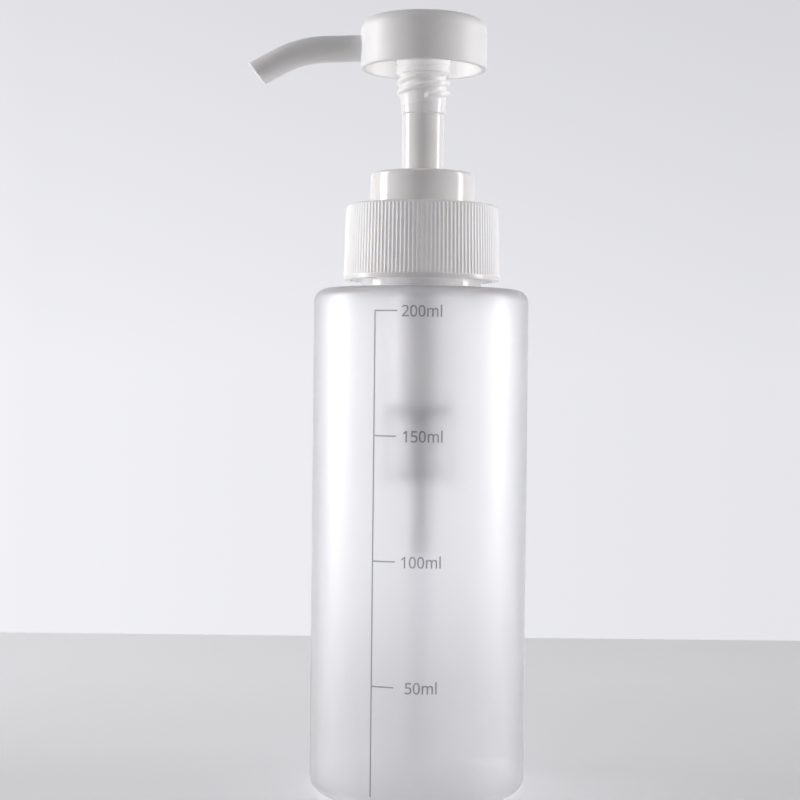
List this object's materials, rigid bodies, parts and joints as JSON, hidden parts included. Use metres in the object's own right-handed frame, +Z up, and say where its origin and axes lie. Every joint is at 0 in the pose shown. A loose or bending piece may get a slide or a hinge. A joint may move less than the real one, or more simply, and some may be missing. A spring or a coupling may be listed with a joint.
{
  "type": "pump oil bottle",
  "caption": "Frosted cylindrical 200 ml oil bottle with a ribbed screw closure, a spring-returned lotion pump and a bent side nozzle.",
  "frame": {"origin": "middle of the foot ring, on the surface that the bottle stands on", "axes": "+Z up along the bottle's axis, the nozzle points along -X"},
  "size_m": [0.066, 0.05, 0.1792],
  "materials": {
    "frosted_wall": "frosted translucent moulding",
    "closure_satin": "satin moulded",
    "collar_gloss": "polished moulded",
    "head_matte": "fine matt moulded",
    "stem_gloss": "polished moulded",
    "natural_white": "natural moulded",
    "clear": "clear moulded",
    "seal_white": "foamed sheet",
    "spring_steel": "drawn wire",
    "ball_glass": "polished"
  },
  "bodies": {
    "bottle": {"bottle": "frosted_wall"},
    "seal": {"gasket": "seal_white"},
    "pump_unit": {"collar": "collar_gloss", "housing": "natural_white", "valve_cup": "clear", "valve_cup_lid": "clear", "ball_cage": "natural_white", "spring": "spring_steel", "dip_tube": "clear"},
    "closure": {"closure": "closure_satin"},
    "plunger": {"piston": "natural_white"},
    "actuator": {"head": "head_matte", "stem": "stem_gloss", "stem_foot": "natural_white"},
    "inlet_valve": {"inlet_ball": "ball_glass"},
    "outlet_valve": {"outlet_ball": "ball_glass"}
  },
  "joints": [
    {"name": "pump_lift_off", "type": "slide", "parent": "bottle", "child": "seal", "axis": [0, 0, 1], "range_m": [0, 0.135]},
    {"name": "closure_turn", "type": "hinge", "parent": "pump_unit", "child": "closure", "pos_m": [0, 0, 0.126], "axis": [0, 0, 1], "range_deg": [0, 540]},
    {"name": "thread_lift", "type": "slide", "parent": "seal", "child": "pump_unit", "axis": [0, 0, 1], "range_m": [0, 0.00645]},
    {"name": "head_press", "type": "slide", "parent": "pump_unit", "child": "plunger", "axis": [0, 0, -1], "range_m": [0, 0.0155], "stiffness_N_per_m": 600, "springref_m": -0.012, "deforming": ["spring"]},
    {"name": "head_swivel", "type": "hinge", "parent": "plunger", "child": "actuator", "pos_m": [0, 0, 0.15], "axis": [0, 0, 1], "continuous": true},
    {"name": "inlet_ball_lift", "type": "slide", "parent": "pump_unit", "child": "inlet_valve", "axis": [0, 0, 1], "range_m": [0, 0.0012]},
    {"name": "outlet_ball_lift", "type": "slide", "parent": "actuator", "child": "outlet_valve", "axis": [0, 0, 1], "range_m": [0, 0.0012]}
  ],
  "couplings": [
    {"joint": "thread_lift", "follows": "closure_turn", "m_per_rad": 0.00067322}
  ]
}
